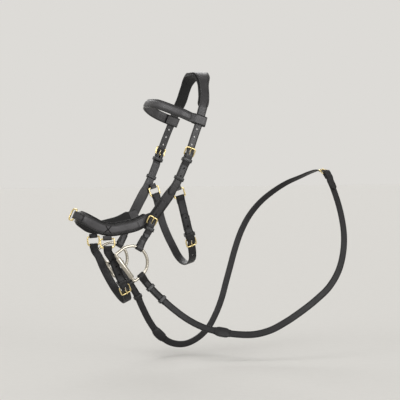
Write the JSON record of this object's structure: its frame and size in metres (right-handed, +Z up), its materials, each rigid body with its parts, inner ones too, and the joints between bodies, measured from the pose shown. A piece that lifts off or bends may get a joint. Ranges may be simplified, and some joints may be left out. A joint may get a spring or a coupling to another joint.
{
  "type": "horse bridle",
  "caption": "Leather head bridle with lined headpiece, browband, padded noseband, ringed jaw and chin straps, jointed snaffle bit with D-shaped cheeks, and buckled reins.",
  "frame": {"origin": "middle of the underside of the headpiece's lining, where the bridle rests behind the ears", "axes": "+Z up, -Y the way the head faces, +X the head's left (near) side, where the chin and jaw straps buckle"},
  "size_m": [0.2522, 0.6516, 0.6554],
  "materials": {
    "leather": "satin black bridle leather",
    "rein_leather": "satin black leather",
    "lining": "soft matt black lining",
    "brass": "polished",
    "steel": "polished stainless steel"
  },
  "bodies": {
    "bridle": {"bit_billet_near": "leather", "bit_billet_off": "leather", "bit_buckle_near": "brass", "bit_buckle_off": "brass", "bit_keeper_near": "leather", "bit_keeper_off": "leather", "bit_strap_near": "leather", "bit_strap_off": "leather", "browband": "leather", "cheek_buckle_near": "brass", "cheek_buckle_off": "brass", "cheek_keeper_near": "leather", "cheek_keeper_off": "leather", "cheekpiece_near": "leather", "cheekpiece_off": "leather", "chin_billet": "leather", "chin_buckle": "brass", "chin_keeper": "leather", "chin_strap": "leather", "headpiece": "leather", "jaw_billet": "leather", "jaw_buckle": "brass", "jaw_keeper": "leather", "jaw_ring_near": "brass", "jaw_ring_off": "brass", "jaw_ring_tab_near": "leather", "jaw_ring_tab_off": "leather", "jaw_strap": "leather", "nose_ring_tab": "leather", "noseband": "leather", "noseband_pad": "lining", "poll_pad": "lining", "rein_buckle": "brass", "rein_keeper_near_1": "leather", "rein_keeper_near_2": "leather", "rein_keeper_off_1": "leather", "rein_keeper_off_2": "leather", "rein_near": "rein_leather", "rein_off": "rein_leather", "side_ring_near": "brass", "side_ring_off": "brass", "side_ring_tab_near": "leather", "side_ring_tab_off": "leather"},
    "nose_ring": {"nose_ring": "brass"},
    "bit_tongue_near": {"bit_tongue_near": "brass"},
    "bit_tongue_off": {"bit_tongue_off": "brass"},
    "cheek_tongue_near": {"cheek_tongue_near": "brass"},
    "cheek_tongue_off": {"cheek_tongue_off": "brass"},
    "chin_tongue": {"chin_tongue": "brass"},
    "jaw_tongue": {"jaw_tongue": "brass"},
    "rein_tongue": {"rein_tongue": "brass"},
    "cheek_runner_near": {"cheek_runner_near": "leather"},
    "cheek_runner_off": {"cheek_runner_off": "leather"},
    "bit": {"bit_cheek_near": "steel", "bit_cheek_off": "steel"},
    "arm_near": {"mouthpiece_arm_near": "steel"},
    "arm_off": {"mouthpiece_arm_off": "steel"},
    "link": {"mouthpiece_link": "steel"},
    "rein_stop_near": {"rein_stop_near": "rein_leather"},
    "rein_stop_off": {"rein_stop_off": "rein_leather"}
  },
  "joints": [
    {"name": "nose_ring_swing", "type": "hinge", "parent": "bridle", "child": "nose_ring", "pos_m": [0, -0.29996, -0.31829], "axis": [0, 0.4311, 0.9023], "range_deg": [0, 150]},
    {"name": "bit_tongue_near_lift", "type": "hinge", "parent": "bridle", "child": "bit_tongue_near", "pos_m": [0.07387, -0.14279, -0.33832], "axis": [0.0825, 0.9201, -0.3828], "range_deg": [0, 4]},
    {"name": "bit_tongue_off_lift", "type": "hinge", "parent": "bridle", "child": "bit_tongue_off", "pos_m": [-0.07387, -0.14279, -0.33832], "axis": [0.0825, -0.9201, 0.3828], "range_deg": [0, 4]},
    {"name": "cheek_tongue_near_lift", "type": "hinge", "parent": "bridle", "child": "cheek_tongue_near", "pos_m": [0.09288, -0.05868, -0.1821], "axis": [0.0475, 0.9316, -0.3604], "range_deg": [0, 4]},
    {"name": "cheek_tongue_off_lift", "type": "hinge", "parent": "bridle", "child": "cheek_tongue_off", "pos_m": [-0.09288, -0.05868, -0.1821], "axis": [0.0475, -0.9316, 0.3604], "range_deg": [0, 4]},
    {"name": "chin_tongue_lift", "type": "hinge", "parent": "bridle", "child": "chin_tongue", "pos_m": [0.04357, -0.19754, -0.48123], "axis": [-0.0465, -0.8866, -0.4601], "range_deg": [0, 4]},
    {"name": "jaw_tongue_lift", "type": "hinge", "parent": "bridle", "child": "jaw_tongue", "pos_m": [0.07435, -0.04652, -0.3743], "axis": [-0.0364, -0.9434, -0.3297], "range_deg": [0, 4]},
    {"name": "rein_tongue_lift", "type": "hinge", "parent": "bridle", "child": "rein_tongue", "pos_m": [0.02988, 0.32173, -0.22761], "axis": [-0.0837, 0.9965, 0.0065], "range_deg": [0, 4]},
    {"name": "cheek_runner_near_slide", "type": "slide", "parent": "bridle", "child": "cheek_runner_near", "axis": [-0.0691, -0.4239, -0.9031], "range_m": [-0.008, 0.005]},
    {"name": "cheek_runner_off_slide", "type": "slide", "parent": "bridle", "child": "cheek_runner_off", "axis": [-0.0691, 0.4239, 0.9031], "range_m": [-0.005, 0.008]},
    {"name": "bit_turn", "type": "hinge", "parent": "bridle", "child": "bit", "pos_m": [0, -0.18798, -0.426], "axis": [1, 0, 0], "range_deg": [-12, 4]},
    {"name": "arm_near_swing", "type": "hinge", "parent": "bit", "child": "arm_near", "pos_m": [0.069, -0.20366, -0.4376], "axis": [0, 0.5948, -0.8039], "range_deg": [-1.2, 1.2]},
    {"name": "arm_off_swing", "type": "hinge", "parent": "bit", "child": "arm_off", "pos_m": [-0.069, -0.20366, -0.4376], "axis": [0, 0.5948, -0.8039], "range_deg": [-1.2, 1.2]},
    {"name": "link_swing", "type": "hinge", "parent": "arm_near", "child": "link", "pos_m": [0.01, -0.19183, -0.42885], "axis": [0, 0.5948, -0.8039], "range_deg": [-1.2, 1.2]},
    {"name": "rein_stop_near_slide", "type": "slide", "parent": "bridle", "child": "rein_stop_near", "axis": [0.2134, 0.9573, -0.1949], "range_m": [-0.005, 0.005]},
    {"name": "rein_stop_off_slide", "type": "slide", "parent": "bridle", "child": "rein_stop_off", "axis": [0.0969, -0.7197, 0.6875], "range_m": [-0.005, 0.005]}
  ],
  "couplings": [
    {"joint": "arm_off_swing", "follows": "arm_near_swing", "ratio": -1},
    {"joint": "link_swing", "follows": "arm_near_swing", "ratio": -1}
  ]
}
